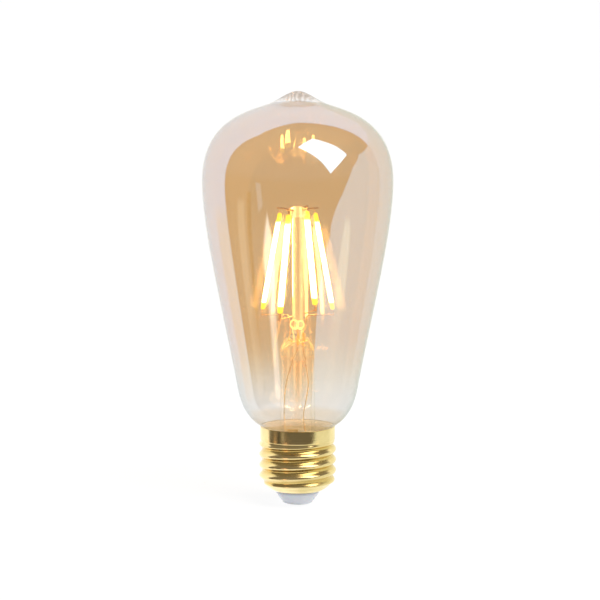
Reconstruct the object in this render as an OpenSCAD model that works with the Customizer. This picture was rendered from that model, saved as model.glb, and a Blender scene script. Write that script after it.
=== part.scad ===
// LED filament lamp with an E27 screw cap. Millimetres, +Z up.
// The origin is the middle of the flat base contact. The glass tip points along +Z.

/* [Bulb] */
// Height of the whole lamp, from the base contact to the glass tip
lamp_height = 141; // [138:0.5:144]
// Widest diameter of the glass
bulb_d = 64.5; // [62:0.5:66]
// Height of the widest ring above the base contact
belly_z = 110; // [108:0.5:112]
// Thickness of the blown glass
glass_wall = 0.8; // [0.6:0.1:1]
// Outer diameter of the glass neck inside the cap
neck_d = 22.4; // [22:0.1:22.8]

/* [Screw cap] */
// Outer diameter over the thread crests (E27)
thread_d = 26.1; // [26.05:0.05:26.45]
// Distance between neighbouring crests
thread_pitch = 3.629; // [3.6:0.001:3.65]
// Depth of the rolled thread, crest to root
thread_depth = 1.05; // [0.9:0.05:1.1]
// Outer diameter of the plain collar above the thread
collar_d = 25.4; // [25.2:0.1:25.8]
// Height of the collar's rim above the base contact
collar_top = 26.8; // [26.4:0.1:27]
// Thickness of the rolled brass
shell_wall = 0.3; // [0.2:0.05:0.35]
// Direction of the first crest's lowest point, seen from above
thread_start = 0; // [-180:5:180]

/* [Base] */
// Diameter of the centre contact
contact_d = 7; // [6:0.5:8]
// Thickness of the centre contact below the insulator
contact_t = 0.4; // [0.3:0.1:0.6]
// Diameter of the insulator's lower end
insulator_tip_d = 10; // [9:0.5:11]
// Diameter of the insulator where it enters the shell
insulator_d = 14.8; // [14:0.2:15]

/* [Stem] */
// Outer diameter of the stem tube
stem_d = 11.6; // [11.2:0.2:12.4]
// Wall of the stem tube
stem_wall = 1; // [0.8:0.1:1.2]
// Height where the tube ends and the solid press begins
press_z = 50; // [49:0.5:51]
// Height of the solid press
press_h = 7.5; // [7:0.5:8]
// Diameter of the glass rod that carries the bead
post_d = 3.8; // [3.4:0.1:4]
// Height of the bead's underside
bead_z = 98.3; // [97.5:0.1:99]
// Diameter of the bead
bead_d = 5.4; // [5:0.2:6]
// Outer diameter of the exhaust tube
exhaust_d = 3; // [2.6:0.1:3.2]

/* [Filaments] */
// Directions of the four filaments, seen from above
filament_angles = [0, 60, 180, 240]; // [0:5:360]
// Height of the lower end of the phosphor body
filament_z = 66.4; // [66:0.1:67]
// Distance of that end from the axis
filament_r = 11.9; // [11.5:0.1:12.3]
// Length of the phosphor body
filament_len = 33.8; // [33:0.2:34.4]
// Lean of each filament towards the axis
filament_lean = 10.2; // [9.5:0.1:10.6]
// Width of the phosphor body
filament_w = 1.8; // [1.6:0.1:2]
// Thickness of the phosphor body
filament_t = 1.4; // [1.3:0.1:1.6]
// Number of LED chips on each strip
chip_count = 28; // [20:1:32]

/* [Wires] */
// Diameter of the support wires
support_d = 0.6; // [0.5:0.1:0.7]
// Height of the lower support wires' arms
arm_z = 64.7; // [64.4:0.1:65]
// Diameter of the lead-in wires
lead_d = 0.5; // [0.4:0.05:0.6]

/* [Driver] */
// Height of the circuit board's lower edge
board_z = 7.8; // [7.6:0.1:8]
// Height of the circuit board
board_h = 13.4; // [12:0.2:13.6]
// Width of the circuit board
board_w = 13; // [12:0.2:13]
// Thickness of the circuit board
board_t = 1; // [0.8:0.1:1]

/* [Hidden] */
$fn = 64;

amber = [0.83, 0.67, 0.45, 0.45];
clear = [0.87, 0.89, 0.90, 0.5];
gold = [0.86, 0.72, 0.33];
nickel = [0.72, 0.70, 0.66];
copper = [0.80, 0.48, 0.26];
phosphor = [1.0, 0.83, 0.30];
pale_grey = [0.80, 0.82, 0.85];

// ---- curves -------------------------------------------------------------

// A point on the cubic curve with the four control points p, at t from 0 to 1
function on_curve(p, t) =
    pow(1 - t, 3) * p[0] + 3 * t * pow(1 - t, 2) * p[1]
    + 3 * t * t * (1 - t) * p[2] + pow(t, 3) * p[3];

// The curve's points, without its last one
function curve(p, steps) = [for (i = [0:steps - 1]) on_curve(p, i / steps)];

function joined(lists) = [for (list = lists) each list];

// Each point of a half section moved square to the line, into the material.
// The line runs upwards with the axis on its left.
function inset(line, by) = [
    for (i = [0:len(line) - 1])
        let (
            before = line[max(i - 1, 0)],
            after = line[min(i + 1, len(line) - 1)],
            along = (after - before) / norm(after - before)
        )
        line[i] + by * [-along[1], along[0]]
];

function backwards(line) = [for (i = [len(line) - 1:-1:0]) line[i]];

// ---- glass --------------------------------------------------------------

neck_r = neck_d / 2;
bulb_r = bulb_d / 2;
neck_end_z = 15;
neck_top_z = 24.4;
shoulder = [12.3, collar_top];
waist = [20.3, 39.4];
flank_slope = 0.19;
belly = [bulb_r, belly_z];
crown = [10.4, lamp_height - 5];
crown_slope = 0.34;
tip_z = lamp_height;

// The cone's side between the waist and the belly starts along this direction
function flank(by) = [by * flank_slope, by];

neck_curve = [[neck_r, neck_top_z], [neck_r, neck_top_z + 1.2], shoulder - [0.7, 0.6], shoulder];
shoulder_curve = [shoulder, shoulder + [4.2, 2.4], waist - flank(6.5), waist];
flank_curve = [waist, waist + flank(26), belly - [0, 16], belly];
crown_curve = [belly, belly + [0, 20], crown + [7.7, -7.7 * crown_slope], crown];
tip_curve = [crown, crown + [-2.8, 2.8 * crown_slope], [3.5, tip_z], [0, tip_z]];

// The dome runs on smoothly under the tip, so the tip is thick sealed glass
dome_top = [0, crown[1] + 1.5];
dome_curve = [crown, crown + [-3, 3 * crown_slope], dome_top + [3, 0], dome_top];

bulb_side = joined([
    [[neck_r, neck_end_z]],
    curve(neck_curve, 4), curve(shoulder_curve, 10),
    curve(flank_curve, 18), curve(crown_curve, 18)
]);
bulb_outside = joined([bulb_side, curve(tip_curve, 10), [[0, tip_z]]]);
bulb_dome = joined([bulb_side, curve(dome_curve, 5), [dome_top]]);
bulb_inside = [for (p = inset(bulb_dome, glass_wall)) [max(p[0], 0), p[1]]];

module glass_envelope() {
    color(amber)
        rotate_extrude()
            polygon(concat(bulb_outside, backwards(bulb_inside)));
}

// ---- stem ---------------------------------------------------------------

stem_r = stem_d / 2;
rim_z = neck_end_z - 0.8;
flare_spread = 4.2;
flare_reach = 4;
post_r = post_d / 2;
post_z = press_z + press_h;
bead_r = bead_d / 2;
bead_h = 3.3;
exhaust_tip_z = 27;

// Outer radius of the flare at height z
function flare_r(z) = stem_r + flare_spread * exp((neck_end_z - z) / flare_reach);

flare_line = [for (z = [neck_end_z, 16.5, 18, 20, 22.5, 25, 28, 32, 37, press_z]) [flare_r(z), z]];

module stem_flare() {
    color(clear)
        rotate_extrude()
            polygon(concat(
                [[flare_r(neck_end_z) - stem_wall, rim_z], [neck_r, rim_z], [neck_r, neck_end_z]],
                flare_line,
                [for (p = backwards(flare_line)) p - [stem_wall, 0]]
            ));
}

// Where the wires pass through the press
lead_feet = [[1.9, -1.6], [0.2, -2.5]];
foot_r = 2.6;
anchor_z = press_z + 3;

// The tube's wall runs on straight to the press's shoulder
press_shoulder = [flare_r(press_z), press_z + 3.5];
press_top_r = 3;

module stem_press() {
    color(clear)
        difference() {
            rotate_extrude()
                polygon(joined([
                    [[0, press_z], [press_shoulder[0], press_z]],
                    curve(
                        [press_shoulder, press_shoulder + [0, 1.6], [5, post_z], [press_top_r, post_z]],
                        8
                    ),
                    [[press_top_r, post_z], [0, post_z]]
                ]));
            // The jaws leave two leaning flats
            for (side = [0, 180])
                rotate([0, 0, side])
                    translate([-10, 6.4, press_z + 0.5])
                        rotate([24, 0, 0])
                            cube([20, 10, 12]);
            for (foot = lead_feet)
                translate([foot[0], foot[1], press_z - 1])
                    cylinder(d = lead_d, h = press_h + 2);
            for (angle = [filament_angles[1], filament_angles[2]])
                rotate([0, 0, angle])
                    translate([foot_r, 0, anchor_z])
                        cylinder(d = support_d, h = press_h);
            // The hole that lets the gas through
            translate([0, 0, press_z - 1])
                cylinder(d = 1.4, h = 3);
            translate([0, 0, press_z + 1.6])
                rotate([-70, 0, 0])
                    cylinder(d = 1.2, h = 12);
        }
}

module exhaust_tube() {
    color(clear)
        rotate_extrude()
            polygon(concat(
                [[0, exhaust_tip_z]],
                [for (a = [15:25:90]) exhaust_d / 2 * [sin(a), 1 - cos(a)] + [0, exhaust_tip_z]],
                [[exhaust_d / 2, press_z], [0.8, press_z], [0.8, exhaust_tip_z + 2.5],
                 [0, exhaust_tip_z + 1.8]]
            ));
}

module centre_post() {
    color(clear)
        translate([0, 0, post_z])
            cylinder(r = post_r, h = bead_z - post_z);
}

module top_button() {
    color(clear)
        difference() {
            translate([0, 0, bead_z])
                rotate_extrude()
                    polygon(joined([
                        [[0, 0]],
                        curve([[post_r, 0], [bead_r, 0], [bead_r, 0.4], [bead_r, bead_h / 2]], 6),
                        curve([[bead_r, bead_h / 2], [bead_r, bead_h], [1.6, bead_h], [1, bead_h]], 6),
                        [[1, bead_h], [0, bead_h]]
                    ]));
            top_channels(1);
            top_channels(2);
        }
}

// ---- wires --------------------------------------------------------------

// A wire is a many-sided tube along a list of points, with mitred bends
wire_sides = 10;

function unit(v) = v / norm(v);

function heading(points, i) = unit(points[i + 1] - points[i]);

// The direction square to the mitre at point i
function mitre(points, i) =
    i == 0 ? heading(points, 0)
    : i == len(points) - 1 ? heading(points, i - 1)
    : unit(heading(points, i - 1) + heading(points, i));

function first_ring(points, d) =
    let (
        along = heading(points, 0),
        side = unit(cross(along, abs(along[0]) < 0.7 ? [1, 0.2, 0] : [0, 1, 0.2])),
        other = cross(along, side)
    )
    [
        for (k = [0:wire_sides - 1])
            points[0] + d / 2 * (cos(360 * k / wire_sides) * side + sin(360 * k / wire_sides) * other)
    ];

// Ring i is the ring before it, slid along the wire to the mitre
function wire_ring(points, d, i) =
    i == 0 ? first_ring(points, d)
    : let (along = heading(points, i - 1), face = mitre(points, i))
    [
        for (q = wire_ring(points, d, i - 1))
            q + along * (((points[i] - q) * face) / (along * face))
    ];

module wire(points, d) {
    last = len(points) - 1;
    polyhedron(
        points = [for (i = [0:last]) each wire_ring(points, d, i)],
        faces = concat(
            [[for (k = [0:wire_sides - 1]) k]],
            [
                for (i = [0:last - 1])
                    for (k = [0:wire_sides - 1])
                        let (n = (k + 1) % wire_sides, low = i * wire_sides, high = low + wire_sides)
                        each [[low + k, high + k, high + n], [low + k, high + n, low + n]]
            ],
            [[for (k = [wire_sides - 1:-1:0]) last * wire_sides + k]]
        )
    );
}

function polar(r, angle, z) = [r * cos(angle), r * sin(angle), z];

top_wire_z = bead_z + 2.7;
top_wire_r = 7;
top_wire_pairs = [[180, 240], [0, 60]];

// The bend of wire i lies inside the bead
function top_bend(i) =
    polar(1.2, (top_wire_pairs[i - 1][0] + top_wire_pairs[i - 1][1]) / 2, top_wire_z - 0.9);

function top_end(i, side) = polar(top_wire_r, top_wire_pairs[i - 1][side], top_wire_z);

module top_support_wire(i) {
    color(nickel)
        wire([top_end(i, 0), top_bend(i), top_end(i, 1)], support_d);
}

// A straight round rod between two points
module rod(start, end, d) {
    step = end - start;
    translate(start)
        rotate([0, acos(step[2] / norm(step)), atan2(step[1], step[0])])
            cylinder(d = d, h = norm(step));
}

// The channels in the bead that hold wire i
module top_channels(i) {
    translate(top_bend(i))
        sphere(d = support_d * 1.5);
    for (side = [0, 1])
        rod(top_bend(i), top_end(i, side), support_d);
}

lead_top_z = post_z + 1.3;
elbow_r = 2.9;
arm_end_r = filament_r + (filament_z - arm_z) * tan(filament_lean) - 0.13;

// The arms of filaments 1 and 4 run down to the lead-in wires, the other two are held in the press
module lower_support_wire(i) {
    angle = filament_angles[i - 1];
    arm = [polar(arm_end_r, angle, arm_z), polar(elbow_r, angle, arm_z)];
    anchored = [polar(foot_r, angle, post_z + 2), polar(foot_r, angle, anchor_z)];
    foot = lead_feet[i == 1 ? 0 : 1];
    joining = [polar(elbow_r, angle, post_z + 4.5), [foot[0], foot[1], lead_top_z]];
    color(nickel)
        wire(concat(arm, (i == 1 || i == 4) ? joining : anchored), support_d);
}

// Cut wire ends that stand on the press and curl round in front of the post.
// Each curl has the side of its stalk, the stalk's foot and the middle of the loop.
curl_r = 1.1;
curl_d = 0.4;
curl_step = 0.5;
curl_turn = 330;
curls = [
    [-1, [-1.9, -2.1], [-1.5, -3.2, 62]],
    [1, [1.5, -2.7], [1.2, -3.3, 61.7]]
];

module wire_curls() {
    color(nickel)
        for (curl = curls) {
            side = curl[0];
            foot = curl[1];
            middle = curl[2];
            stalk = [[foot[0], foot[1], post_z], [foot[0], foot[1], post_z + 0.8]];
            loop = [
                for (a = [0:curl_turn / 15:curl_turn])
                    middle + [side * curl_r * cos(a), -curl_step * a / curl_turn, curl_r * sin(a)]
            ];
            wire(concat(stalk, loop), curl_d);
        }
}

crimp_d = 1.3;

module lead_crimps() {
    color(copper)
        for (foot = lead_feet)
            translate([foot[0], foot[1], post_z])
                difference() {
                    cylinder(d = crimp_d, h = lead_top_z - post_z - 0.35);
                    translate([0, 0, -1])
                        cylinder(d = lead_d, h = 6);
                }
}

pad_y = -(board_t + lead_d) / 2;
lead_paths = [
    [[3.6, -1, 42], [2.6, -1.8, 36], [1.9, -1.9, 31], [3.2, pad_y, 24], [3.2, pad_y, 19.4]],
    [[-2.8, -2, 45.5], [-4.2, -0.8, 40.5], [-4.3, -0.6, 35], [-3.8, pad_y, 24], [-3.8, pad_y, 19.4]]
];

module lead_in_wire(i) {
    foot = lead_feet[i - 1];
    start = [[foot[0], foot[1], lead_top_z - 0.35], [foot[0], foot[1], press_z - 0.4]];
    color(copper)
        wire(concat(start, lead_paths[i - 1]), lead_d);
}

// ---- filaments ----------------------------------------------------------

slot_w = 1;
slot_t = 0.6;
strip_t = 0.35;
chip_t = slot_t - strip_t;
tab_t = 0.25;
tab_grip = 0.8;
lower_tab = 2.4;
upper_tab = 1.1;

// Moves a filament drawn upright, with its lower end at the origin, to its own place
module at_filament(i) {
    rotate([0, 0, filament_angles[i - 1]])
        translate([filament_r, 0, filament_z])
            rotate([0, -filament_lean, 0])
                children();
}

module filament_coat(i) {
    spread = (filament_w - filament_t) / 2;
    color(phosphor)
        at_filament(i)
            difference() {
                union() {
                    for (side = [-spread, spread])
                        translate([0, side, 0])
                            cylinder(d = filament_t, h = filament_len, $fn = 32);
                    translate([-filament_t / 2, -spread, 0])
                        cube([filament_t, 2 * spread, filament_len]);
                }
                translate([-slot_t / 2, -slot_w / 2, -1])
                    cube([slot_t, slot_w, filament_len + 2]);
            }
}

module filament_strip(i) {
    color("white")
        at_filament(i)
            translate([-slot_t / 2, -slot_w / 2, tab_grip])
                cube([strip_t, slot_w, filament_len - 2 * tab_grip]);
}

module led_chips(i) {
    chip_l = 0.7;
    run = filament_len - 2 * tab_grip - 2;
    color("khaki")
        at_filament(i)
            for (k = [0:chip_count - 1])
                translate([
                    strip_t - slot_t / 2,
                    -0.25,
                    tab_grip + 1 + (run - chip_l) * k / (chip_count - 1)
                ])
                    cube([chip_t, 0.5, chip_l]);
}

module filament_tabs(i) {
    color(nickel)
        at_filament(i) {
            translate([-tab_t / 2, -slot_w / 2, -lower_tab])
                cube([tab_t, slot_w, lower_tab + tab_grip]);
            translate([-tab_t / 2, -slot_w / 2, filament_len - tab_grip])
                cube([tab_t, slot_w, upper_tab + tab_grip]);
        }
}

// ---- cap ----------------------------------------------------------------

collar_r = collar_d / 2;
thread_mean_r = (thread_d - thread_depth) / 2;
lip_z = 4;
thread_z0 = 7;
thread_z1 = 22;
fade = 1.6;
around = 32;
rows_per_pitch = 10;
first_crest_z = 8;

// Half section of the shell without its thread, from the lip to the collar's rim
shell_foot = curve([[7.6, lip_z], [9.4, 4.4], [11.4, 5.6], [thread_mean_r - 0.5, thread_z0]], 7);
thread_rows = round((thread_z1 - thread_z0) / thread_pitch * rows_per_pitch);
shell_side = [
    for (i = [0:thread_rows])
        [thread_mean_r, thread_z0 + (thread_z1 - thread_z0) * i / thread_rows]
];
shell_collar = [[collar_r, thread_z1 + 0.4], [collar_r, collar_top]];
shell_line = joined([shell_foot, shell_side, shell_collar]);

// How far the thread is formed at height z: it fades in above the foot and out under the collar
function formed(z) =
    max(0, min(1, (z - thread_z0 + 0.4) / fade)) * max(0, min(1, (thread_z1 - z) / fade));

function thread_wave(z, angle) =
    formed(z) * thread_depth / 2 * cos(360 * (z - first_crest_z) / thread_pitch - angle + thread_start);

// One ring of points for each point of a half section, with the thread's wave on it
function rings(line) = [
    for (p = line)
        for (k = [0:around - 1])
            let (angle = 360 * k / around, r = p[0] + thread_wave(p[1], angle))
            [r * cos(angle), r * sin(angle), p[1]]
];

// The two triangles of each cell between ring i and the ring after it
function cell(i, j, k) =
    let (
        n = (k + 1) % around,
        a = i * around + k, b = i * around + n,
        c = j * around + n, d = j * around + k
    )
    [[a, c, b], [a, d, c]];

module cap_shell() {
    outer = shell_line;
    inner = backwards(inset(shell_line, shell_wall));
    loop = concat(outer, inner);
    count = len(loop);
    color(gold)
        polyhedron(
            points = rings(loop),
            faces = [for (i = [0:count - 1]) for (k = [0:around - 1]) each cell(i, (i + 1) % count, k)]
        );
}

cement_z0 = thread_z1 + 0.4;
cement_z1 = 26;
neutral_angle = -45;
neck_wire_r = neck_r + 0.25;
shell_wire_r = collar_r - shell_wall - 0.35;

module basing_cement() {
    color("tan")
        difference() {
            rotate_extrude()
                polygon([
                    [neck_r + 0.02, cement_z0], [collar_r - shell_wall - 0.1, cement_z0],
                    [collar_r - shell_wall - 0.1, cement_z1], [neck_r + 0.5, cement_z1],
                    [neck_r + 0.02, neck_top_z - 0.4]
                ]);
            // A groove for the wire to the shell
            rotate([0, 0, neutral_angle])
                translate([shell_wire_r, 0, cement_z0 - 1])
                    cylinder(d = 0.8, h = cement_z1 - cement_z0 + 2);
        }
}

shank_r = 1.4;
shank_bore_r = 1;
shank_top = 6.5;
plate_r = 8.3;

module insulator() {
    color(pale_grey)
        rotate_extrude()
            polygon([
                [shank_r, contact_t], [insulator_tip_d / 2 - 0.4, contact_t],
                [insulator_tip_d / 2, contact_t + 0.4], [insulator_d / 2, lip_z + 0.1],
                [insulator_d / 2, 4.9], [plate_r, 5.1], [plate_r, 6.3], [shank_r, 6.3]
            ]);
}

module centre_contact() {
    edge = 0.15;
    color("silver")
        rotate_extrude()
            polygon([
                [0, 0], [contact_d / 2 - edge, 0], [contact_d / 2, edge], [contact_d / 2, contact_t],
                [shank_r, contact_t], [shank_r, 6.3], [shank_r + 0.5, 6.3], [shank_r + 0.5, shank_top],
                [shank_bore_r, shank_top], [shank_bore_r, contact_t], [0, contact_t]
            ]);
}

live_wire_d = 0.8;

module contact_solder() {
    color("gainsboro")
        difference() {
            translate([0, 0, contact_t])
                cylinder(r = shank_bore_r, h = 3.6);
            translate([0, 0, 1.4])
                cylinder(d = live_wire_d, h = 6);
        }
}

// ---- driver and radio ---------------------------------------------------

back_y = board_t / 2;
resistor_at = [0, 6, board_z + 1.6];
resistor_l = 6;

// The board's upper part is a narrower tongue that reaches up into the stem's flare
tongue_w = 8.8;
tongue_z = 17;

module driver_board() {
    color("darkgreen") {
        translate([-board_w / 2, -board_t / 2, board_z])
            cube([board_w, board_t, tongue_z - board_z]);
        translate([-tongue_w / 2, -board_t / 2, board_z])
            cube([tongue_w, board_t, board_h]);
    }
}

// A chip body on the back of the board with a row of legs on each side
module chip(x, z, w, h, t, legs) {
    color("dimgray") {
        translate([x, back_y + 0.15, z])
            cube([w, t - 0.15, h]);
        for (side = [-0.6, w])
            for (k = [0:legs - 1])
                translate([x + side, back_y, z + h * (k + 0.5) / legs - 0.2])
                    cube([0.6, 0.3, 0.4]);
    }
}

module bridge_rectifier() {
    chip(-5.6, board_z + 0.6, 4, 4.2, 2.2, 2);
}

module driver_chip() {
    chip(0.9, board_z + 0.6, 3.9, 4.9, 1.5, 4);
}

module bulk_capacitor() {
    color("steelblue")
        translate([-3, -4, board_z])
            rotate_extrude()
                polygon([
                    [0, 0], [2.7, 0], [3, 0.3], [3, 0.9], [2.8, 1.1], [3, 1.3],
                    [3, 6.7], [2.7, 7], [0, 7]
                ]);
}

module power_inductor() {
    color("saddlebrown")
        translate([3.6, -3.2, board_z])
            rotate_extrude()
                polygon([
                    [0, 0], [2.3, 0], [2.3, 0.9], [1.8, 1.1],
                    [1.8, 4.4], [2.3, 4.6], [2.3, 5.5], [0, 5.5]
                ]);
}

module fusible_resistor() {
    color("tomato") {
        translate(resistor_at - [resistor_l / 2, 0, 0])
            rotate([0, 90, 0])
                cylinder(d = 2.2, h = resistor_l);
        wire([resistor_at - [3, 0, 0], resistor_at - [4.2, 0, 0]], lead_d);
        wire([
            resistor_at + [3, 0, 0], resistor_at + [4.6, 0, 0],
            [6, 2.6, resistor_at[2]], [6, back_y, resistor_at[2]]
        ], lead_d);
    }
}

module radio_module() {
    color("silver") {
        translate([-4, back_y, board_z + 6])
            cube([8, 0.6, 7]);
        translate([-3.6, back_y + 0.6, board_z + 6.4])
            cube([7.2, 1.2, 6.2]);
    }
}

// A folded metal strip on the upper edge of the board, above the cap's own screening
module antenna() {
    top = board_z + board_h;
    left = -3.6;
    span = 3.8;
    rise = 4.2;
    strip = 0.8;
    gauge = 0.3;
    color("goldenrod") {
        for (x = [left, left + span - strip])
            translate([x, 0, top])
                cube([strip, gauge, rise]);
        translate([left, 0, top + rise - strip])
            cube([span, gauge, strip]);
    }
}

module live_wire() {
    color("firebrick")
        wire([
            [0, 0, 1.4], [0, 0, 5.9], [0, 1.8, 7.1], [-4.6, 5.4, 7.4], resistor_at - [4.6, 0, 0.2]
        ], live_wire_d);
}

// The bare wire runs up between the neck and the shell and ends in the cement
module neutral_wire() {
    color("gray")
        wire([
            [5.8, -board_t / 2 - 0.2, board_z + 0.6], [8.2, -4.5, board_z + 1.4],
            polar(neck_wire_r, neutral_angle, 11), polar(neck_wire_r, neutral_angle, 20.5),
            polar(shell_wire_r, neutral_angle, 22.4), polar(shell_wire_r, neutral_angle, 24.8)
        ], 0.4);
}

// ---- the parts ----------------------------------------------------------

stem_flare();
stem_press();
exhaust_tube();
centre_post();
top_button();
top_support_wire(1);  // top_support_wire_1
top_support_wire(2);  // top_support_wire_2
filament_coat(1);  // filament_coat_1
filament_coat(2);  // filament_coat_2
filament_coat(3);  // filament_coat_3
filament_coat(4);  // filament_coat_4
filament_strip(1);  // filament_strip_1
filament_strip(2);  // filament_strip_2
filament_strip(3);  // filament_strip_3
filament_strip(4);  // filament_strip_4
led_chips(1);  // led_chips_1
led_chips(2);  // led_chips_2
led_chips(3);  // led_chips_3
led_chips(4);  // led_chips_4
filament_tabs(1);  // filament_tabs_1
filament_tabs(2);  // filament_tabs_2
filament_tabs(3);  // filament_tabs_3
filament_tabs(4);  // filament_tabs_4
lower_support_wire(1);  // lower_support_wire_1
lower_support_wire(2);  // lower_support_wire_2
lower_support_wire(3);  // lower_support_wire_3
lower_support_wire(4);  // lower_support_wire_4
wire_curls();
lead_crimps();
lead_in_wire(1);  // lead_in_wire_1
lead_in_wire(2);  // lead_in_wire_2
basing_cement();
cap_shell();
insulator();
centre_contact();
contact_solder();
driver_board();
bridge_rectifier();
bulk_capacitor();
power_inductor();
fusible_resistor();
driver_chip();
radio_module();
antenna();
live_wire();
neutral_wire();
glass_envelope();
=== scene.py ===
import math

import bpy
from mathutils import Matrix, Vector, noise


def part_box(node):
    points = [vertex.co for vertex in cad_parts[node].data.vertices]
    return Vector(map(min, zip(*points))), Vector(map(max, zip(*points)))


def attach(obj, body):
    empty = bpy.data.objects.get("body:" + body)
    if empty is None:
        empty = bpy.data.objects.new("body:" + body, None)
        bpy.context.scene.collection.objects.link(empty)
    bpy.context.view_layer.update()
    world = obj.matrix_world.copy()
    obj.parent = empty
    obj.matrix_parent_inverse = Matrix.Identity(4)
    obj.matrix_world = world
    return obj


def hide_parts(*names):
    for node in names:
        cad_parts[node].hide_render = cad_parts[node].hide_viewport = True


# Lengths are in millimetres until a mesh is made, and MM turns them into the frame's metres.
# The axis of the lamp is Z, and the base contact's flat face is at height 0.
MM = 0.001
BODY = "root"

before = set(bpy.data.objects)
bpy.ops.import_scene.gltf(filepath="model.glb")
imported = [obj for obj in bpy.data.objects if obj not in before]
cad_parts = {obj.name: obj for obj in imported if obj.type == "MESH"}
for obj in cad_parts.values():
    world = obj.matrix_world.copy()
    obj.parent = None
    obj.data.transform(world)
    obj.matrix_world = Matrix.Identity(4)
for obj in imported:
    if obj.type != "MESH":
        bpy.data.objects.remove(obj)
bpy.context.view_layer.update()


# ---- sizes, from the frame and the design's own proportions ---------------

def box_mm(node):
    low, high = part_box(node)
    return [v / MM for v in low], [v / MM for v in high]


glass_low, glass_high = box_mm("glass_envelope")
post_low, post_high = box_mm("centre_post")
press_low, press_high = box_mm("stem_press")
bead_low, bead_high = box_mm("top_button")

TIP_Z = glass_high[2]
BULB_R = glass_high[0]
NECK_END_Z = glass_low[2]
COLLAR_TOP = box_mm("cap_shell")[1][2]
POST_R = post_high[0]
POST_Z = post_low[2]
BEAD_Z = bead_low[2]
BEAD_R = bead_high[0]
PRESS_Z = press_low[2]
STEM_R = press_high[0]

NECK_R = 11.2
NECK_TOP_Z = 24.4
GLASS_WALL = 0.25
STEM_WALL = 1.0
FILAMENT_ANGLES = [0, 60, 180, 240]
FILAMENT_LEAN = 10.2
FILAMENT_R = 11.9
FILAMENT_Z = 66.4
FILAMENT_LEN = 33.8
CHIPS = 28

# Heights between which a look changes, in metres as the shaders see them.
FILM_LOW, FILM_HIGH = 0.0325, 0.059
COLLAR_REFLECTION_LOW, COLLAR_REFLECTION_HIGH = 0.0288, 0.0315
# Heights where the painted reflection of the gold collar fades out of the outer glass.
DRAWN_LOW, DRAWN_HIGH = 0.1371, 0.1388
# Heights over which the stem tube's painted glow and warmer tint set in.
PAINTED_GLOW_LOW, PAINTED_GLOW_HIGH = 0.030, 0.054
WIRE_LIT_LOW, WIRE_LIT_HIGH = 0.057, 0.0635


# ---- curves and meshes -----------------------------------------------------

def bezier(p0, p1, p2, p3, steps):
    """Points on a cubic curve, without its last one."""
    points = []
    for i in range(steps):
        t = i / steps
        a, b, c, d = (1 - t) ** 3, 3 * t * (1 - t) ** 2, 3 * t * t * (1 - t), t ** 3
        points.append(tuple(a * w + b * x + c * y + d * z for w, x, y, z in zip(p0, p1, p2, p3)))
    return points


def arc(centre, radius, start, end, steps):
    """Points on an arc in a half section, angles in degrees, its last point included."""
    turn = [math.radians(start + (end - start) * i / steps) for i in range(steps + 1)]
    return [(centre[0] + radius * math.cos(a), centre[1] + radius * math.sin(a)) for a in turn]


def inset(line, by):
    """A half section moved square to itself by a distance, to the left of its direction."""
    moved = []
    for i, p in enumerate(line):
        before = line[max(i - 1, 0)]
        after = line[min(i + 1, len(line) - 1)]
        dr, dz = after[0] - before[0], after[1] - before[1]
        size = math.hypot(dr, dz)
        moved.append((max(p[0] - by * dz / size, 0.0), p[1] + by * dr / size))
    return moved


def smooth_path(points, per_span=10):
    """A smooth curve through a few points (Catmull-Rom)."""
    pts = [Vector(p) for p in points]
    pts = [pts[0] * 2 - pts[1]] + pts + [pts[-1] * 2 - pts[-2]]
    out = []
    for i in range(1, len(pts) - 2):
        p0, p1, p2, p3 = pts[i - 1:i + 3]
        for k in range(per_span):
            t = k / per_span
            out.append(0.5 * (2 * p1 + (p2 - p0) * t + (2 * p0 - 5 * p1 + 4 * p2 - p3) * t * t
                              + (3 * p1 - p0 - 3 * p2 + p3) * t ** 3))
    out.append(pts[-2])
    return out


def polar(r, angle, z):
    return Vector((r * math.cos(math.radians(angle)), r * math.sin(math.radians(angle)), z))


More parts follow.
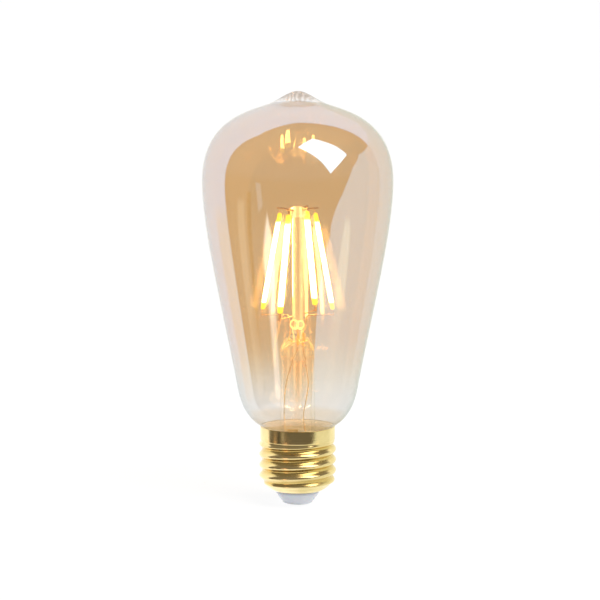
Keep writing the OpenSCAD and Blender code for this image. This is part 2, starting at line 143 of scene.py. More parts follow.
class Shape:
    """Collects the vertices and faces of one piece, in millimetres."""

    def __init__(self):
        self.verts = []
        self.faces = []
        self.slots = []

    def add(self, verts, faces, slots=None):
        base = len(self.verts)
        self.verts += [tuple(v) for v in verts]
        self.faces += [tuple(base + i for i in f) for f in faces]
        self.slots += slots or [0] * len(faces)

    def revolve(self, line, steps, closed=False, slot=None, wobble=None):
        """Turns a half section about the axis. A point at radius 0 becomes a pole.

        slot gives a face's material slot from its two half section points, and wobble moves a
        point, which it is given as radius, height and angle.
        """
        verts, rows = [], []
        for r, z in line:
            if r < 1e-6:
                rows.append([len(verts)] * steps)
                verts.append((0, 0, z))
                continue
            rows.append(list(range(len(verts), len(verts) + steps)))
            for k in range(steps):
                angle = 2 * math.pi * k / steps
                rr, zz = wobble(r, z, angle) if wobble else (r, z)
                verts.append((rr * math.cos(angle), rr * math.sin(angle), zz))
        pairs = list(zip(rows, rows[1:], line, line[1:]))
        if closed:
            pairs.append((rows[-1], rows[0], line[-1], line[0]))
        faces, slots = [], []
        for low, high, start, end in pairs:
            for k in range(steps):
                n = (k + 1) % steps
                face = [low[k], low[n], high[n], high[k]]
                kept = [v for i, v in enumerate(face) if v != face[i - 1]]
                if len(kept) > 2:
                    faces.append(kept)
                    slots.append(slot(start, end) if slot else 0)
        self.add(verts, faces, slots)

    def loft(self, rings):
        """Skins a row of closed rings, which all have the same number of points, and closes both ends."""
        n, last = len(rings[0]), len(rings) - 1
        faces = [tuple(reversed(range(n))), tuple(range(last * n, (last + 1) * n))]
        for low in range(0, last * n, n):
            high = low + n
            faces += [(low + k, low + (k + 1) % n, high + (k + 1) % n, high + k) for k in range(n)]
        self.add([v for ring in rings for v in ring], faces)

    def tube(self, path, diameter, sides=14, radius_at=None):
        """A round wire with domed ends along a path. radius_at(t) scales it, t from 0 to 1."""
        path = [Vector(p) for p in path]
        last = len(path) - 1
        headings = [(path[min(i + 1, last)] - path[max(i - 1, 0)]).normalized() for i in range(last + 1)]
        scales = [radius_at(i / last) if radius_at else 1.0 for i in range(last + 1)]
        radius = diameter / 2
        dome = [(radius * math.sin(math.radians(a)), max(math.cos(math.radians(a)), 0.02))
                for a in (90, 72, 54, 36, 18)]
        stations = ([(path[0] - headings[0] * out, headings[0], scales[0] * size) for out, size in dome]
                    + list(zip(path, headings, scales))
                    + [(path[-1] + headings[-1] * out, headings[-1], scales[-1] * size)
                       for out, size in reversed(dome)])
        section = [(radius * math.cos(2 * math.pi * k / sides), radius * math.sin(2 * math.pi * k / sides))
                   for k in range(sides)]
        side = headings[0].orthogonal().normalized()
        rings = []
        for point, heading, scale in stations:
            side = (side - heading * side.dot(heading)).normalized()
            other = heading.cross(side)
            rings.append([point + (side * a + other * b) * scale for a, b in section])
        self.loft(rings)

    def piece(self, name, materials, slot, *nodes):
        """Makes the object, shades it smooth and ties it to the frame."""
        mesh = bpy.data.meshes.new(name)
        mesh.from_pydata([(x * MM, y * MM, z * MM) for x, y, z in self.verts], [], self.faces)
        for material in materials:
            mesh.materials.append(material)
        mesh.polygons.foreach_set("material_index", self.slots)
        mesh.polygons.foreach_set("use_smooth", [True] * len(mesh.polygons))
        mesh.update()
        obj = bpy.data.objects.new(name, mesh)
        bpy.context.scene.collection.objects.link(obj)
        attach(obj, BODY)
        if nodes:
            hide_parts(*nodes)
        return obj


# ---- materials ---------------------------------------------------------------

class Look:
    """A material and its node graph."""

    def __init__(self, name):
        self.material = bpy.data.materials.new(name)
        self.material.use_nodes = True
        self.tree = self.material.node_tree
        self.tree.nodes.clear()
        self.output = self.node("ShaderNodeOutputMaterial")

    def node(self, kind, settings=None, **inputs):
        """A node with its inputs by name, with _ for a space, or by number, such as _0."""
        made = self.tree.nodes.new(kind)
        for key, value in (settings or {}).items():
            setattr(made, key, value)
        for key, value in inputs.items():
            numbered = key[0] == "_" and key[1:].isdigit()
            self.feed(made.inputs[int(key[1:]) if numbered else key.replace("_", " ")], value)
        return made

    def feed(self, socket, value):
        if isinstance(value, bpy.types.NodeSocket):
            self.tree.links.new(value, socket)
        elif isinstance(value, bpy.types.Node):
            self.tree.links.new(value.outputs[0], socket)
        else:
            socket.default_value = value

    def surface(self, shader):
        self.feed(self.output.inputs["Surface"], shader)
        return self.material

    def both(self, a, b):
        return self.node("ShaderNodeAddShader", _0=a, _1=b)

    def either(self, share, a, b):
        """Shader a, and by the given share shader b instead."""
        return self.node("ShaderNodeMixShader", _0=share, _1=a, _2=b)

    def clear(self, colour):
        return self.node("ShaderNodeBsdfTransparent", Color=colour)

    def mirror(self, colour, roughness, normal):
        return self.node("ShaderNodeBsdfAnisotropic", Color=colour, Roughness=roughness, Normal=normal)

    def glow(self, colour, strength):
        return self.node("ShaderNodeEmission", Color=colour, Strength=strength)

    def math(self, operation, a, b=0.0):
        return self.node("ShaderNodeMath", {"operation": operation}, _0=a, _1=b)

    def times(self, a, b):
        return self.math("MULTIPLY", a, b)

    def plus(self, a, b):
        return self.math("ADD", a, b)

    def ramp(self, value, low, high, to_low=0.0, to_high=1.0, kind="SMOOTHSTEP"):
        return self.node("ShaderNodeMapRange", {"interpolation_type": kind}, _0=value, _1=low, _2=high,
                         _3=to_low, _4=to_high)

    def mix_colour(self, factor, a, b):
        return self.node("ShaderNodeMix", {"data_type": "RGBA"}, _0=factor, _6=a, _7=b).outputs[2]

    def place(self):
        """Position in the frame, in metres: every piece's origin is the frame's."""
        return self.node("ShaderNodeTexCoord").outputs["Object"]

    def height(self):
        return self.node("ShaderNodeSeparateXYZ", _0=self.place()).outputs[2]

    def stretched(self, x, y, z):
        return self.node("ShaderNodeMapping", Vector=self.place(), Scale=(x, y, z)).outputs[0]

    def noise(self, scale, detail=4.0, roughness=0.5, vector=None):
        return self.node("ShaderNodeTexNoise", Vector=vector if vector else self.place(), Scale=scale,
                         Detail=detail, Roughness=roughness).outputs[0]

    def bump(self, height, strength, distance):
        return self.node("ShaderNodeBump", Height=height, Strength=strength, Distance=distance).outputs[0]


def rgb(r, g, b):
    return (r, g, b, 1.0)


# What the bulb's wall scatters, and the strength and spread of each of the two lobes it goes into.
HAZE = (0.0036, 0.0026, 0.0014)
HAZE_LOBES = ((1.0, 0.42), (8.0, 0.31))
BARE_BACK = rgb(0.04, 0.042, 0.045)


def glass_relief(look):
    """Blown glass is a little uneven, which bends what it mirrors. Gives its normal and its roughness."""
    uneven = look.noise(22.0, 2.0, 0.4)
    streaks = look.noise(9.0, 3.0, 0.5, look.stretched(9, 9, 1.2))
    relief = look.plus(look.times(uneven, 0.8), look.times(streaks, 0.25))
    roughness = look.ramp(look.noise(140.0, 4.0), 0.35, 0.75, 0.012, 0.04)
    return look.bump(relief, 0.35, 0.0006), roughness


def drawn_relief(look):
    """The long waves of glass that was drawn into a tube or a rod."""
    return look.noise(90.0, 2.0, 0.5, look.stretched(3, 3, 1))


def edge_on(look, power, most):
    """From 0 where a face is seen square on to the given most where it is seen edge-on."""
    facing = look.node("ShaderNodeLayerWeight", Blend=0.5).outputs["Facing"]
    return look.times(look.math("POWER", facing, power), most)


def thin_glass(look, through, back, rim, relief, haze=HAZE_LOBES):
    """One face of a thin wall. Light goes through, is mirrored, most of it edge-on, or is scattered."""
    normal, roughness = relief
    body = look.both(look.clear(through), look.mirror(back, roughness, normal))
    for share, spread in haze:
        body = look.both(body, look.node("ShaderNodeBsdfRefraction", Color=rgb(*(v * share for v in HAZE)),
                                         Roughness=spread, IOR=1.3))
    return look.surface(look.either(edge_on(look, 5.0, 0.9), body, look.mirror(rim, roughness, normal)))


def film_share(look):
    """How much of the gold film there is: all of it on the bulb, and none by the cap."""
    patchy = look.node("ShaderNodeMath", {"operation": "MULTIPLY_ADD"}, _0=look.noise(60.0, 3.0), _1=0.006,
                       _2=-0.003)
    return look.ramp(look.plus(look.height(), patchy), FILM_LOW, FILM_HIGH)


def outer_glass():
    """The outer face: clear, with a painted golden-brown tint low by the neck that stands in for the gold
    collar's reflection.
    """
    look = Look("blown_glass")
    rim = look.mix_colour(film_share(look), rgb(0.70, 0.72, 0.73), rgb(0.78, 0.765, 0.74))
    # Painted reflection: below these heights the glass is tinted golden brown, as if it mirrored the gold
    # collar.
    collar_reflection = look.ramp(look.height(), COLLAR_REFLECTION_LOW, COLLAR_REFLECTION_HIGH)
    through = look.mix_colour(collar_reflection, rgb(0.895, 0.81, 0.70), rgb(0.93, 0.93, 0.93))
    return thin_glass(look, through, BARE_BACK, rim, glass_relief(look))


def film_glass():
    """The inner face and its champagne-gold film.

    The film lets amber through. Seen through the glass it mirrors the cooler rest of the light, and
    from the cavity it mirrors gold.
    """
    look = Look("amber_glass")
    film = film_share(look)
    through = look.mix_colour(film, rgb(0.825, 0.82, 0.81), rgb(0.732, 0.565, 0.352))
    from_cavity = look.node("ShaderNodeNewGeometry").outputs["Backfacing"]
    film_back = look.mix_colour(from_cavity, rgb(0.11, 0.09, 0.065), rgb(0.10, 0.225, 0.375))
    back = look.mix_colour(film, BARE_BACK, film_back)
    rim = look.mix_colour(film, rgb(0.68, 0.69, 0.69), rgb(0.74, 0.71, 0.66))
    return thin_glass(look, through, back, rim, glass_relief(look))


def tip_glass():
    """The drawn-out tip, left with fine slanting streaks where the glass was pinched off."""
    look = Look("tip_glass")
    slant = look.node("ShaderNodeMapping", Vector=look.place(), Rotation=(0.0, 0.7, 0.35)).outputs[0]
    lines = look.node("ShaderNodeTexWave", {"bands_direction": "X"}, Vector=slant, Scale=290.0,
                      Distortion=5.0, Detail=3.0, Detail_Scale=1.5).outputs[1]
    fade = look.ramp(look.height(), DRAWN_LOW, DRAWN_HIGH)
    lines = look.times(lines, fade)
    solid = look.mix_colour(fade, rgb(0.97, 0.96, 0.95), rgb(0.86, 0.79, 0.73))
    through = look.mix_colour(lines, solid, rgb(0.66, 0.57, 0.49))
    back = look.mix_colour(fade, rgb(0.08, 0.10, 0.12), rgb(0.06, 0.085, 0.11))
    relief = look.bump(lines, 0.7, 0.0005), 0.03
    return thin_glass(look, through, back, rgb(0.66, 0.64, 0.62), relief, haze=())


def painted_light_streaks(look):
    """Upright streaks of painted light, where drawn glass would show the filaments' light: 0 between them and
    1 in them.
    """
    wave = look.node("ShaderNodeTexWave", {"bands_direction": "X"}, Vector=look.place(), Scale=150.0,
                     Distortion=0.5, Detail=1.0)
    return look.ramp(wave.outputs[1], 0.35, 0.95)


def stem_tube_glass():
    """Clear drawn tube. Near the press it has a warmer tint and a painted glow in upright streaks, which
    stand in for the filaments' light carried down in its wall.
    """
    look = Look("stem_tube_glass")
    painted_glow_by_height = look.ramp(look.height(), PAINTED_GLOW_LOW, PAINTED_GLOW_HIGH)
    through = look.mix_colour(painted_glow_by_height, rgb(0.975, 0.965, 0.95), rgb(0.985, 0.93, 0.84))
    normal = look.bump(drawn_relief(look), 0.3, 0.0006)
    # Painted glow: emission in the tube's wall near the press, stronger in the streaks.
    strength = look.times(look.ramp(painted_glow_by_height, 0.0, 1.0, 0.0, 0.022, "LINEAR"),
                          look.ramp(painted_light_streaks(look), 0.0, 1.0, 0.5, 3.5))
    painted_glow = look.glow(look.mix_colour(painted_glow_by_height, rgb(1.0, 0.86, 0.68), rgb(1.0, 0.82, 0.52)), strength)
    body = look.both(look.clear(through), look.mirror(rgb(0.045, 0.045, 0.045), 0.04, normal))
    rim = look.mirror(rgb(0.85, 0.82, 0.78), 0.05, normal)
    return look.surface(look.either(edge_on(look, 4.0, 0.85), look.both(body, painted_glow), rim))


def clear_glass(name, tint, ior, glow_low, glow_high):
    """Solid clear glass, slightly wavy, with faint seeds, and a painted glow in upright streaks that stands
    in for the filaments' light in it.

    The two glows are below and above the foot of the post.
    """
    look = Look(name)
    seeds = look.noise(700.0, 2.0)
    normal = look.bump(look.plus(drawn_relief(look), look.times(seeds, 0.15)), 0.12, 0.0008)
    roughness = look.ramp(look.noise(300.0, 3.0), 0.4, 0.7, 0.0, 0.03)
    glass = look.node("ShaderNodeBsdfGlass", Color=tint, Roughness=roughness, IOR=ior, Normal=normal)
    streaks = painted_light_streaks(look)
    foot = (POST_Z - 1) * MM
    # Painted glow: the glass's emission stands in for the filaments' light, warmer below the foot of the
    # post.
    strength = look.ramp(look.height(), foot, (POST_Z + 4) * MM, glow_low, glow_high)
    strength = look.times(strength, look.ramp(seeds, 0.2, 0.8, 0.8, 1.2))
    strength = look.times(strength, look.ramp(streaks, 0.0, 1.0, 0.7, 1.9))
    above = look.ramp(look.height(), foot, (POST_Z + 5) * MM)
    colour = look.mix_colour(above, rgb(1.0, 0.62, 0.20), rgb(1.0, 0.70, 0.32))
    painted_glow = look.glow(look.mix_colour(streaks, colour, rgb(1.0, 0.86, 0.52)), strength)
    shadow = look.node("ShaderNodeLightPath").outputs["Is Shadow Ray"]
    return look.surface(look.either(shadow, look.both(glass, painted_glow), look.clear(tint)))


def principled(look, **inputs):
    return look.surface(look.node("ShaderNodeBsdfPrincipled", **inputs))


def gold_plate():
    """Bright gold-coloured plating: fine turning lines, thread roots that are rougher and darkened with
    painted shade, faint handling marks.
    """
    look = Look("gold_plate")
    lines = look.noise(26.0, 5.0, 0.7, look.stretched(1, 1, 60))
    blotches = look.noise(240.0, 5.0, 0.6)
    soft = look.noise(70.0, 3.0)
    scratches = look.noise(35.0, 6.0, 0.75, look.stretched(30, 30, 4))
    tone = look.ramp(blotches, 0.3, 0.75)
    tint = look.mix_colour(tone, rgb(0.90, 0.73, 0.37), rgb(0.84, 0.66, 0.31))
    root_shade_and_dulling = look.node("ShaderNodeAttribute", {"attribute_name": "groove"}).outputs["Fac"]
    # Painted shade: the thread roots are tinted dark brown. They are also made rougher.
    tint = look.mix_colour(look.times(root_shade_and_dulling, 0.7), tint, rgb(0.66, 0.46, 0.11))
    roughness = look.plus(look.ramp(soft, 0.3, 0.7, 0.13, 0.20),
                          look.ramp(scratches, 0.5, 0.8, 0.0, 0.1))
    roughness = look.plus(roughness, look.times(root_shade_and_dulling, 0.1))
    relief = look.plus(look.times(lines, 0.5), look.times(soft, 0.9))
    normal = look.bump(relief, 0.18, 0.0004)
    return principled(look, Base_Color=tint, Metallic=1.0, Roughness=roughness, Normal=normal)


def metal(name, colour, other, roughness_low, roughness_high, scale=400.0, stretch=(1, 1, 1), glow=0.0):
    """Plain metal with a varied tone and fine drawing marks. glow is a painted glow that stands in for the
    filaments' light on it.
    """
    look = Look(name)
    marks = look.noise(scale, 5.0, 0.65, look.stretched(*stretch))
    tone = look.noise(scale / 6, 3.0)
    tint = look.mix_colour(look.ramp(tone, 0.35, 0.7), colour, other)
    roughness = look.ramp(marks, 0.3, 0.75, roughness_low, roughness_high)
    normal = look.bump(marks, 0.2, 0.0001)
    return principled(look, Base_Color=tint, Metallic=1.0, Roughness=roughness, Normal=normal,
                      Emission_Color=rgb(1.0, 0.76, 0.38), Emission_Strength=glow)


def moulded(name, colour, other, roughness_low, roughness_high, scale=500.0, relief=0.1, **inputs):
    """Moulded or baked matter with a grain."""
    look = Look(name)
    grain = look.noise(scale, 5.0, 0.6)
    tone = look.noise(scale / 7, 3.0)
    tint = look.mix_colour(look.ramp(tone, 0.3, 0.7), colour, other)
    roughness = look.ramp(grain, 0.3, 0.7, roughness_low, roughness_high)
    normal = look.bump(grain, relief, 0.0001)
    return principled(look, Base_Color=tint, Roughness=roughness, Normal=normal, **inputs)


# How far from a filament's lower and upper end its light sets in, in metres, and how strong it is.
LIT_BELOW, LIT_ABOVE = (0.0021, 0.0034), (0.0040, 0.0026)
LIT_STRENGTH, PLAIN_STRENGTH = 26.0, 1.45


def phosphor():
    """Lit phosphor silicone: white-hot in the middle, yellow at the two ends, chips showing as beads."""
    look = Look("phosphor_lit")
    z = look.height()
    span = FILAMENT_LEN * math.cos(math.radians(FILAMENT_LEAN)) * MM
    low = FILAMENT_Z * MM
    rise = look.ramp(z, low + LIT_BELOW[0], low + LIT_BELOW[1])
    fall = look.ramp(z, low + span - LIT_ABOVE[0], low + span - LIT_ABOVE[1], 1.0, 0.0)
    lit = look.times(rise, fall)
    chips = look.math("SINE", look.times(z, 2 * math.pi * CHIPS / (span - 0.004)))
    beads = look.ramp(chips, -1.0, 1.0, 0.72, 1.0)
    strength = look.plus(look.times(look.times(lit, beads), LIT_STRENGTH), PLAIN_STRENGTH)
    colour = look.mix_colour(lit, rgb(1.0, 0.92, 0.05), rgb(1.0, 0.78, 0.44))
    grain = look.noise(900.0, 3.0)
    base = look.mix_colour(grain, rgb(0.95, 0.62, 0.04), rgb(0.85, 0.52, 0.03))
    return principled(look, Base_Color=base, Roughness=0.55, Emission_Color=colour,
                      Emission_Strength=strength, Normal=look.bump(grain, 0.15, 0.0001))


def support_wire():
    """Nickel-plated wire with a painted golden tint and a painted glow, brightest by the press, which stand
    in for the filaments' light.
    """
    look = Look("nickel_wire")
    marks = look.noise(400.0, 5.0, 0.65)
    tone = look.ramp(look.noise(66.0, 3.0), 0.35, 0.7)
    # Painted light: the golden tint and the glow below stand in for the filaments' light, strongest low down
    # near the press.
    tint = look.mix_colour(tone, rgb(0.85, 0.58, 0.30), rgb(0.70, 0.43, 0.20))
    painted_glow_by_height = look.ramp(look.height(), WIRE_LIT_LOW, WIRE_LIT_HIGH, 0.9, 0.22)
    return principled(look, Base_Color=tint, Metallic=1.0, Roughness=look.ramp(marks, 0.3, 0.75, 0.2, 0.4),
                      Emission_Color=rgb(1.0, 0.60, 0.20), Emission_Strength=painted_glow_by_height,
                      Normal=look.bump(marks, 0.2, 0.0001))


def copper_painted_glow():
    """Copper-coloured sleeves with a painted orange glow that stands in for the lamp's own light on them."""
    look = Look("copper_sleeve")
    marks = look.noise(500.0, 4.0)
    tint = look.mix_colour(marks, rgb(0.92, 0.42, 0.13), rgb(0.70, 0.28, 0.08))
    return principled(look, Base_Color=tint, Metallic=1.0, Roughness=0.3,
                      Emission_Color=rgb(1.0, 0.32, 0.05), Emission_Strength=1.6,
                      Normal=look.bump(marks, 0.2, 0.0001))


OUTER = outer_glass()
AMBER = film_glass()
TUBE_GLASS = stem_tube_glass()
# Both carry a painted glow: a strong one on the button's glass and a weaker one on the press.
PRESS_GLASS = clear_glass("press_glass", rgb(0.99, 0.97, 0.92), 1.3, 0.055, 0.22)
ROD_GLASS = clear_glass("rod_glass", rgb(0.975, 0.965, 0.95), 1.47, 0.62, 0.62)
TIP_GLASS = tip_glass()
GOLD = gold_plate()
PHOSPHOR = phosphor()
NICKEL_WITH_PAINTED_GLOW = support_wire()
# Painted glow: the curled ends and the lead-in wires have emission for the filaments' light on them.
PAINTED_GLOW_WIRE = metal("painted_glow_wire", rgb(0.95, 0.74, 0.42), rgb(0.85, 0.58, 0.28), 0.2, 0.35, glow=1.6)
TOP_WIRE = metal("shaded_wire", rgb(0.55, 0.34, 0.16), rgb(0.42, 0.25, 0.11), 0.25, 0.45)
COPPER_WITH_PAINTED_GLOW = metal("copper_wire", rgb(0.92, 0.66, 0.34), rgb(0.76, 0.50, 0.22), 0.2, 0.4, glow=0.3)
PAINTED_GLOW_SLEEVE = copper_painted_glow()
INSULATOR = moulded("insulator_grey", rgb(0.70, 0.72, 0.78), rgb(0.62, 0.65, 0.71), 0.3, 0.5, 350.0, 0.12,
                    Subsurface_Weight=0.15, Subsurface_Scale=0.002, Specular_IOR_Level=0.25)
# The cement's emission is a painted glow: it stands in for light reaching it inside the collar.
CEMENT_WITH_PAINTED_GLOW = moulded("basing_cement", rgb(0.86, 0.80, 0.64), rgb(0.76, 0.68, 0.50), 0.75, 0.95, 900.0, 0.6,
                 Emission_Color=rgb(0.95, 0.88, 0.70), Emission_Strength=0.7)
TIN = metal("tinned_contact", rgb(0.74, 0.74, 0.72), rgb(0.60, 0.60, 0.58), 0.2, 0.42)


# ---- the glass bulb -------------------------------------------------------------

FLANK_SLOPE = 0.19
CROWN_SLOPE = 0.34
TIP_DROP = 0.4
DRAWN_RISE, DRAWN_R = 1.2, 7.5
shoulder = (12.3, COLLAR_TOP)
waist = (20.3, 39.4)
belly = (BULB_R, 110.0)
crown = (10.4, TIP_Z - 5)


def glass_side():
    """The outside of the bulb, from the end of the neck to the foot of the tip."""
    return (
        [(NECK_R, NECK_END_Z), (NECK_R, 18.0), (NECK_R, 21.0)]
        + bezier((NECK_R, NECK_TOP_Z), (NECK_R, NECK_TOP_Z + 1.2), (11.6, COLLAR_TOP - 0.6), shoulder, 8)
        + bezier(shoulder, (shoulder[0] + 4.2, shoulder[1] + 2.4),
                 (waist[0] - 6.5 * FLANK_SLOPE, waist[1] - 6.5), waist, 20)
        + bezier(waist, (waist[0] + 26 * FLANK_SLOPE, waist[1] + 26), (belly[0], belly[1] - 16), belly, 44)
        + bezier(belly, (belly[0], belly[1] + 20),
                 (crown[0] + 7.7, crown[1] - 7.7 * CROWN_SLOPE), crown, 44)
    )


def tip_ripple(r, z, angle):
    """The tip was drawn out hot and left with soft twisted flutes."""
    if z < crown[1]:
        return r, z
    rise = min((z - crown[1]) / 2.0, 1.0) * min(r / 2.0, 1.0)
    wave = math.sin(7 * angle + z * 1.3) + 0.6 * math.sin(3 * angle - z * 0.9 + 1.0)
    return r + 0.1 * rise * wave, z + 0.04 * rise * math.sin(5 * angle)


def build_envelope():
    side = glass_side()
    top = (0.0, TIP_Z - TIP_DROP)
    tip = bezier(crown, (crown[0] - 2.8, crown[1] + 2.8 * CROWN_SLOPE), (2.6, top[1]), top, 24)
    dome_top = (0.0, crown[1] + 1.5)
    dome = bezier(crown, (crown[0] - 3, crown[1] + 3 * CROWN_SLOPE), (3.0, dome_top[1]), dome_top, 16)
    inner = inset(side + dome + [dome_top], GLASS_WALL)
    loop = side + tip + [top]
    outside = set(loop)

    def face_slot(start, end):
        if min(start[1], end[1]) >= crown[1] + DRAWN_RISE and min(start[0], end[0]) < DRAWN_R:
            return 2
        return 0 if start in outside and end in outside else 1

    shape = Shape()
    shape.revolve(loop + list(reversed(inner)), 192, closed=True, slot=face_slot, wobble=tip_ripple)
    shape.piece("glass_bulb", [OUTER, AMBER, TIP_GLASS], "amber_glass", "glass_envelope")


# ---- the glass stem --------------------------------------------------------------

def flare_r(z):
    return STEM_R + 4.2 * math.exp((NECK_END_Z - z) / 4.0)


def build_stem():
    """The flare, the pinched press at its top and the post: one piece of fused glass, as in the real lamp."""
    rim_z = NECK_END_Z - 0.75
    heights = [NECK_END_Z + (PRESS_Z - NECK_END_Z) * (i / 30) ** 1.3 for i in range(30)]
    foot = flare_r(PRESS_Z)
    tube = ([(flare_r(NECK_END_Z) - STEM_WALL, rim_z), (NECK_R - 0.1, rim_z), (NECK_R, rim_z + 0.2),
             (NECK_R, NECK_END_Z - 0.05)] + [(flare_r(z), z) for z in heights])
    neck = (3.6, PRESS_Z + 6.9)
    post_foot = (POST_R, POST_Z + 2.6)
    post_len = BEAD_Z - POST_Z - 3.0
    solid = (
        [(foot, PRESS_Z), (foot, PRESS_Z + 1.5)]
        + bezier((foot, PRESS_Z + 3.0), (foot, PRESS_Z + 5.0), (4.9, PRESS_Z + 5.8), neck, 18)
        + bezier(neck, (2.6, PRESS_Z + 7.8), (POST_R, POST_Z + 1.2), post_foot, 10)
        + [(POST_R, post_foot[1] + post_len * i / 12) for i in range(13)]
        + [(POST_R - 0.25, BEAD_Z - 0.12), (0.0, BEAD_Z - 0.1)]
    )
    inside = foot - STEM_WALL
    ceiling = bezier((0.0, PRESS_Z + 6.3), (2.6, PRESS_Z + 6.2), (inside, PRESS_Z + 5.0),
                     (inside, PRESS_Z + 2.5), 16)
    ceiling += [(inside, PRESS_Z + 2.5), (inside, PRESS_Z + 1.0)]
    bore = [(flare_r(z) - STEM_WALL, z) for z in reversed(heights) if z < PRESS_Z - 0.5]

    def pinched(r, z, angle):
        """The jaws leave two flats and a soft ridge on the press."""
        if z < PRESS_Z + 0.5 or z > POST_Z + 2 or r < 2.2:
            return r, z
        depth = math.exp(-((z - (PRESS_Z + 5.4)) / 1.6) ** 2)
        flat = max(math.cos(2 * (angle - math.radians(75))), 0) ** 3
        return r * (1 - 0.22 * depth * flat), z + 0.3 * depth * math.sin(3 * angle)

    shape = Shape()
    shape.revolve(tube + solid + ceiling + bore, 128, closed=True, wobble=pinched,
                  slot=lambda a, b: 1 if min(a[1], b[1]) > PRESS_Z - 0.6 else 0)
    shape.piece("glass_stem", [TUBE_GLASS, PRESS_GLASS], "clear_glass", "stem_flare", "stem_press",
                "centre_post")


def build_button():
    half = (bead_high[2] - BEAD_Z) / 2
    middle, top = (BEAD_R, BEAD_Z + half), (0.0, BEAD_Z + 2 * half)
    line = ([(0.0, BEAD_Z)]
            + bezier((POST_R - 0.1, BEAD_Z), (BEAD_R, BEAD_Z - 0.05), (BEAD_R, BEAD_Z + 0.4), middle, 12)
            + bezier(middle, (BEAD_R, BEAD_Z + 1.8 * half), (1.8, top[1]), top, 14) + [top])
    shape = Shape()
    shape.revolve(line, 72, wobble=lambda r, z, a: (r * (1 + 0.02 * math.sin(3 * a)), z))
    shape.piece("glass_button", [ROD_GLASS], "clear_glass", "top_button")


def build_exhaust():
    low, high = box_mm("exhaust_tube")
    outer = high[0]
    bore = 0.8
    top = PRESS_Z - 1.3
    z0 = low[2]
    line = (arc((0.0, z0 + outer), outer, -90, 0, 8) + [(outer, z0 + 8), (outer, top - 3), (outer + 0.5, top)]
            + [(bore, top), (bore, z0 + 3)] + arc((0.0, z0 + 2.6), bore, 0, -90, 6))
    shape = Shape()
    shape.revolve(line, 48)
    shape.piece("exhaust_pipe", [TUBE_GLASS], "clear_glass", "exhaust_tube")


# ---- filaments --------------------------------------------------------------------

def filament_point(angle, along, out=0.0, side=0.0):
    """A point of a filament: along it from its lower end, out from the axis, and to its side."""
    lean = math.radians(FILAMENT_LEAN)
    r = FILAMENT_R - along * math.sin(lean) + out * math.cos(lean)
    z = FILAMENT_Z + along * math.cos(lean) + out * math.sin(lean)
    c, s = math.cos(math.radians(angle)), math.sin(math.radians(angle))
    return Vector((r * c - side * s, r * s + side * c, z))


FILAMENT_HALF_W, FILAMENT_HALF_T = 0.95, 0.75
DOME_LEN = 0.9
TAB_HALF_W, TAB_HALF_T = 0.45, 0.11


def build_filament(i, angle):
    """The phosphor body, a rounded bar with domed ends that swells a little at each chip, and its tabs."""
    rows, sides, squareness = 64, 28, 2.6
    rings = []
    for k in range(rows + 1):
        along = FILAMENT_LEN * k / rows
        end = min(along, FILAMENT_LEN - along)
        grow = math.sqrt(max(1 - (1 - min(end / DOME_LEN, 1.0)) ** 2, 0.0004))
        swell = 1 + 0.012 * math.sin(2 * math.pi * CHIPS * along / FILAMENT_LEN)
        ring = []
        for s in range(sides):
            a = 2 * math.pi * s / sides
            c, d = math.cos(a), math.sin(a)
            squared = (abs(c) ** squareness + abs(d) ** squareness) ** (-1 / squareness)
            ring.append(filament_point(angle, along, FILAMENT_HALF_T * c * squared * grow * swell,
                                       FILAMENT_HALF_W * d * squared * grow * swell))
        rings.append(ring)
    shape = Shape()
    shape.loft(rings)
    shape.piece(f"filament_{i}", [PHOSPHOR], "phosphor", f"filament_coat_{i}")
    wide = filament_point(angle, 0, 0, 1) - filament_point(angle, 0)
    thick = filament_point(angle, 0, 1) - filament_point(angle, 0)
    section = [(TAB_HALF_W * math.copysign(abs(math.cos(a)) ** 0.35, math.cos(a)),
                TAB_HALF_T * math.copysign(abs(math.sin(a)) ** 0.6, math.sin(a)))
               for a in (2 * math.pi * k / 16 for k in range(16))]
    tabs = Shape()
    for start, end in ((-2.3, 0.6), (FILAMENT_LEN - 0.6, FILAMENT_LEN + 1.1)):
        path = [filament_point(angle, start + (end - start) * k / 6) for k in range(7)]
        tabs.loft([[p + wide * u + thick * v for u, v in section] for p in path])
    tabs.piece(f"filament_ends_{i}", [NICKEL_WITH_PAINTED_GLOW], "nickel_wire", f"filament_tabs_{i}")


# ---- wires -------------------------------------------------------------------------

TOP_WIRE_Z = BEAD_Z + 2.7
ARM_Z = 64.7
SUPPORT_D = 0.42
LEAD_D = 0.5
LEAD_FEET = [(1.9, -1.6), (0.2, -2.5)]
FED_BY = {1: 0, 4: 1}
CURL_STEPS, CURL_TURN = 45, 900
PAD_Y, PAD_Z = -0.75, 19.4


def build_top_wires():
    for i, (a, b) in enumerate([(180, 240), (0, 60)], 1):
        bend = polar(1.2, (a + b) / 2, TOP_WIRE_Z - 0.9)
        shape = Shape()
        path = smooth_path([polar(6.9, a, TOP_WIRE_Z + 0.1), polar(4.6, a, TOP_WIRE_Z), bend,
                            polar(4.6, b, TOP_WIRE_Z), polar(6.9, b, TOP_WIRE_Z + 0.1)])
        shape.tube(path, SUPPORT_D)
        shape.piece(f"top_wire_{i}", [TOP_WIRE], "nickel_wire", f"top_support_wire_{i}")


